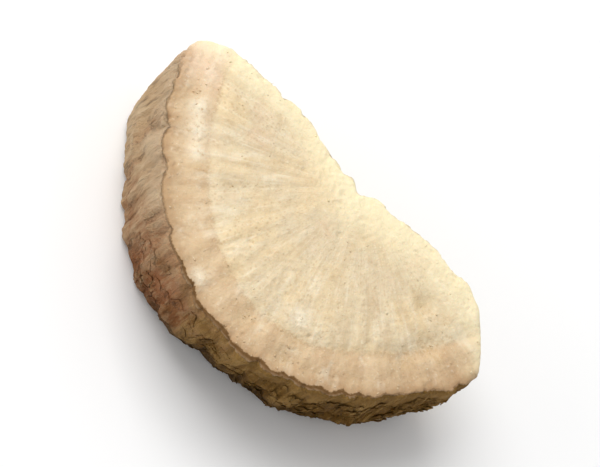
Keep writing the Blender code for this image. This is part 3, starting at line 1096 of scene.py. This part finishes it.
    def cork(self):
        """Thin bark: tan at the left, rust and then olive to the right, partly its own colour and
        partly painted shade on the side turned from the light. It is paler near the rim, partly
        rubbed and partly painted light, with painted highlights on its crests and painted shade in
        its creases and at its foot.

        Its strands and cracks are returned with it, for the relief.
        """
        strand = self.noise(self.squeezed(self.spot, 0.12), 5.0, 6.0, 0.72)
        blotch = self.noise(self.squeezed(self.spot, 0.5), 1.1, 5.0, 0.66)
        # Tan to rust to olive round the bark: partly its own colour, partly painted shade on the
        # side turned from the light
        round_it = self.across + (blotch - 0.5) * 1.1
        to_rust = round_it.rise(-0.88, -0.35)
        to_olive = round_it.rise(-0.40, 0.15)
        dark = self.mix(to_olive, self.mix(to_rust, CORK_TAN, CORK_RUST), CORK_OLIVE)
        pale = self.mix(to_olive, self.mix(to_rust, CORK_PALE, CORK_TAN), CORK_OLIVE_PALE)
        crease, wear_and_light = self.number("crease"), self.number("rim")
        crack = self.cells(self.squeezed(self.bent(), 0.45), 2.2, "DISTANCE_TO_EDGE")
        crack = crack.rise(0.05, 0.0) * blotch.rise(0.52, 0.62) * self.grain.rise(0.40, 0.60)
        cork = self.coated(dark, (
            (strand.rise(0.50, 0.66) * 0.55, pale),
            (strand.rise(0.48, 0.34) * 0.55, CORK_DARK),
            # Painted highlight along the crests of the wrinkles, and painted shade in the creases
            # between them
            (crease.rise(0.10, 0.70) * 0.45, pale),
            (crease.rise(-0.45, -1.20) * 0.55, CORK_DARK),
            (crack * 0.55, CORK_DARK),
            # Painted shade: the foot of the bark by the hollow is darkened towards the base
            (self.number("foot_shade") * (strand.rise(0.62, 0.40) * 0.25 + 0.70), CORK_DARK),
            # Paler near the rim, more so at the left: partly rubbing, partly painted light on the
            # lit bark
            (wear_and_light * 0.45, pale),
            (wear_and_light * self.across.rise(-0.30, -0.70) * 0.45, CORK_WORN_LIT),
            (self.grain.rise(0.58, 0.74) * 0.40, pale),
        ))
        return cork, strand, crack

    def finished(self):
        """The material: cork where nothing is left under the bark, and tissue elsewhere."""
        cork, strand, crack = self.cork()
        barked = self.depth.rise(0.060, 0.040)
        height = self.grain * 0.030 + self.fine * 0.014 + self.thread * (1 - self.cut_face) * 0.12
        height = height + (strand * 0.16 - crack * 0.05 + self.grain * 0.03) * barked
        return self.close({
            "Base Color": self.mix(barked, self.tissue(), cork),
            "Roughness": self.grain * 0.2 + 0.70,
            "Normal": self.node("Bump", {"Strength": 1.0, "Distance": MM, "Height": height}),
            "Subsurface Weight": 0.12,
            "Subsurface Radius": (1.0, 0.6, 0.35),
            "Subsurface Scale": 0.18 * MM,
            "Specular IOR Level": 0.12,
        })


def make_skin(finish):
    """The chip's fine skin, which stands for its solid."""
    points, faces, numbers = skin_shape()
    fit = fit_to_box(points)
    skin = mesh_object("cut_root", fit(points), faces, numbers)
    skin.data.materials.append(finish)
    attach(skin, "root")
    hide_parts(NODE)
    return fit, fit(points)


def make_bits(name, pieces, faces, depth, fit, finish):
    """One object of many small pieces that share their faces, without any past the solid's box.

    The depth under the bark decides whether the finish shows cork or tissue on them.
    """
    kept = pieces[np.all((fit(pieces) > LOW) & (fit(pieces) < HIGH), axis=(1, 2))]
    starts = (np.arange(len(kept)) * pieces.shape[1]).tolist()
    every_face = [[corner + start for corner in face] for start in starts for face in faces]
    points = kept.reshape(-1, 3)
    numbers = Zones(points).numbers()
    numbers["under_bark"] = np.full(len(points), depth / MM)
    bits = mesh_object(name, fit(points), every_face, numbers)
    bits.data.materials.append(finish)
    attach(bits, "root")


def picture_axes():
    """The picture's right and up, and the way towards the camera, as world directions.

    The camera looks at the chip from its bearing and height, and is then rolled until the
    chip's length lies in the picture at the stated slope.
    """
    towards = Vector((
        math.sin(VIEW_TURN) * math.cos(VIEW_HEIGHT),
        -math.cos(VIEW_TURN) * math.cos(VIEW_HEIGHT),
        math.sin(VIEW_HEIGHT),
    ))
    level = Vector((0, 0, 1)).cross(towards).normalized()
    upward = towards.cross(level)
    roll = math.atan2(upward.x, level.x) - LENGTH_LIES
    right = level * math.cos(roll) + upward * math.sin(roll)
    up = upward * math.cos(roll) - level * math.sin(roll)
    return right, up, towards


def facing(right, up, towards, place):
    """The placing of a camera or light at a place, looking back along towards."""
    turn = Matrix((right, up, towards)).transposed().to_4x4()
    return Matrix.Translation(place) @ turn


def make_camera(points, right, up, towards):
    """A long lens aimed at the middle of what it sees of the points, so that they fit the frame."""
    data = bpy.data.cameras.new("camera")
    data.lens = LENS
    data.clip_start = MM
    data.clip_end = 10.0
    seen = points @ np.array((right, up, towards)).T
    middle = (seen.min(axis=0) + seen.max(axis=0)) / 2
    distance = FRAME_WIDTH * LENS / data.sensor_width
    place = right * middle[0] + up * middle[1] + towards * (middle[2] + distance)
    camera = placed("camera", data)
    camera.matrix_world = facing(right, up, towards, place)
    bpy.context.scene.camera = camera


def make_lights(right, up, towards):
    """Soft square lights from the picture's top and, weaker, from its left, and a white sky."""
    for name, shares, distance, size, power in LIGHTS:
        data = bpy.data.lights.new(name, "AREA")
        data.size = size
        data.energy = power
        light = placed(name, data)
        direction = shares[0] * right + shares[1] * up + shares[2] * towards
        light.location = direction.normalized() * distance
        light.rotation_euler = direction.to_track_quat("Z", "Y").to_euler()
    world = bpy.data.worlds.new("sky")
    world.use_nodes = True
    sky = world.node_tree.nodes["Background"].inputs
    sky["Color"].default_value = SKY_WHITE
    sky["Strength"].default_value = SKY_STRENGTH
    bpy.context.scene.world = world


def make_floor():
    """A wide white table top just under the chip."""
    corners = TABLE_REACH * np.array([(-1, -1), (1, -1), (1, 1), (-1, 1)])
    points = np.hstack([corners, np.full((4, 1), LOW[2] - TABLE_GAP)])
    floor = mesh_object("table_top", points, [[0, 1, 2, 3]])
    white = Finish("white_table").close({"Base Color": TABLE_WHITE, "Roughness": 0.8})
    floor.data.materials.append(white)


random = np.random.default_rng(SEED)
dried_root = RootFinish().finished()
fit, skin_points = make_skin(dried_root)
make_bits("cork_flakes", *cork_flakes(random), 0.0, fit, dried_root)
make_bits("starch_crumbs", *starch_crumbs(random), TISSUE_DEPTH, fit, dried_root)
make_bits("torn_fibres", *torn_fibres(random), TISSUE_DEPTH, fit, dried_root)
make_floor()
axes = picture_axes()
make_camera(skin_points, *axes)
make_lights(*axes)
bpy.context.scene.view_settings.view_transform = "Standard"
